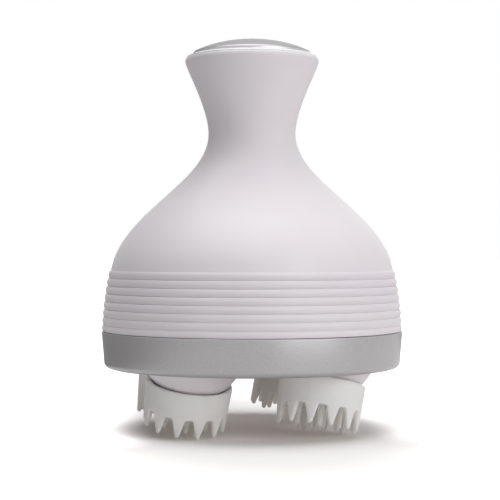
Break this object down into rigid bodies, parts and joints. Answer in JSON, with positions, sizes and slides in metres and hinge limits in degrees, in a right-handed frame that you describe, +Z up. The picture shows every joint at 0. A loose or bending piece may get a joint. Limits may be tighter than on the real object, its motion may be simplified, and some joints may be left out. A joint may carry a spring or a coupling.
{
  "type": "electric scalp massager",
  "caption": "Hand-held electric scalp massager: waisted housing with a domed power button, silver base ring and tilted silicone claw cups that turn on cranks over fixed domes.",
  "frame": {"origin": "on the housing's axis at the level of the lowest fingertips, which is the surface it stands on", "axes": "+Z up along the housing's axis to the button, -Y towards the front, +Y towards the charging socket"},
  "size_m": [0.0924, 0.0924, 0.1207],
  "materials": {
    "bezel_plastic": "polished moulded ABS",
    "black_plastic": "moulded nylon",
    "board": "glass-epoxy board with solder mask",
    "bush_brass": "turned brass",
    "cell_wrap": null,
    "frame_plastic": "moulded ABS",
    "gear_plastic": "moulded acetal",
    "housing_plastic": "soft-touch lacquer on moulded ABS",
    "lead_plastic": "insulated wire",
    "motor_steel": "drawn and zinc-plated steel",
    "reducer_plastic": "moulded acetal case",
    "seal_rubber": "moulded rubber",
    "silicone": "matt moulded silicone",
    "silver_paint": "satin silver paint on moulded ABS",
    "steel": "turned and plated steel"
  },
  "bodies": {
    "housing": {"main_shell": "housing_plastic", "silver_ring": "silver_paint", "top_bezel": "bezel_plastic", "bezel_seal": "seal_rubber", "switch_board": "board", "tact_switch": "black_plastic", "switch_board_screws": "steel", "base_plate": "housing_plastic", "base_seal": "seal_rubber", "case_screws": "steel", "lower_gear_plate": "frame_plastic", "upper_gear_plate": "frame_plastic", "frame_screws": "steel", "shaft_seals": "seal_rubber", "lower_bushes": "bush_brass", "upper_bushes": "bush_brass", "drive_bush": "bush_brass", "reducer": "reducer_plastic", "reducer_screws": "steel", "motor": "motor_steel", "cell": "cell_wrap", "cell_frame": "black_plastic", "main_board": "board", "main_board_screws": "steel", "charging_socket": "black_plastic", "motor_leads": "lead_plastic", "cell_leads": "lead_plastic", "switch_leads": "lead_plastic"},
    "button": {"power_button": "silver_paint", "switch_plunger": "black_plastic"},
    "drive": {"drive_gear": "gear_plastic", "drive_shaft": "steel"},
    "head_1": {"claw_cup_1": "silicone", "claw_hub_1": "frame_plastic", "hub_screw_1": "steel", "crank_shaft_1": "steel", "head_gear_1": "gear_plastic"},
    "head_2": {"claw_cup_2": "silicone", "claw_hub_2": "frame_plastic", "hub_screw_2": "steel", "crank_shaft_2": "steel", "head_gear_2": "gear_plastic"},
    "head_3": {"claw_cup_3": "silicone", "claw_hub_3": "frame_plastic", "hub_screw_3": "steel", "crank_shaft_3": "steel", "head_gear_3": "gear_plastic"},
    "head_4": {"claw_cup_4": "silicone", "claw_hub_4": "frame_plastic", "hub_screw_4": "steel", "crank_shaft_4": "steel", "head_gear_4": "gear_plastic"}
  },
  "joints": [
    {"name": "drive_spin", "type": "hinge", "parent": "housing", "child": "drive", "pos_m": [0, 0, 0.03031], "axis": [0, 0, 1], "continuous": true},
    {"name": "head_1_spin", "type": "hinge", "parent": "housing", "child": "head_1", "pos_m": [0.0198, 0.0198, 0.03031], "axis": [0, 0, 1], "continuous": true},
    {"name": "head_2_spin", "type": "hinge", "parent": "housing", "child": "head_2", "pos_m": [-0.0198, 0.0198, 0.03031], "axis": [0, 0, 1], "continuous": true},
    {"name": "head_3_spin", "type": "hinge", "parent": "housing", "child": "head_3", "pos_m": [-0.0198, -0.0198, 0.03031], "axis": [0, 0, 1], "continuous": true},
    {"name": "head_4_spin", "type": "hinge", "parent": "housing", "child": "head_4", "pos_m": [0.0198, -0.0198, 0.03031], "axis": [0, 0, 1], "continuous": true},
    {"name": "button_press", "type": "slide", "parent": "housing", "child": "button", "axis": [0, 0, -1], "range_m": [0, 0.0005], "stiffness_N_per_m": 600, "springref_m": -0.0008}
  ],
  "couplings": [
    {"joint": "head_1_spin", "follows": "drive_spin", "ratio": -1.3333},
    {"joint": "head_2_spin", "follows": "drive_spin", "ratio": -1.3333},
    {"joint": "head_3_spin", "follows": "drive_spin", "ratio": -1.3333},
    {"joint": "head_4_spin", "follows": "drive_spin", "ratio": -1.3333}
  ]
}
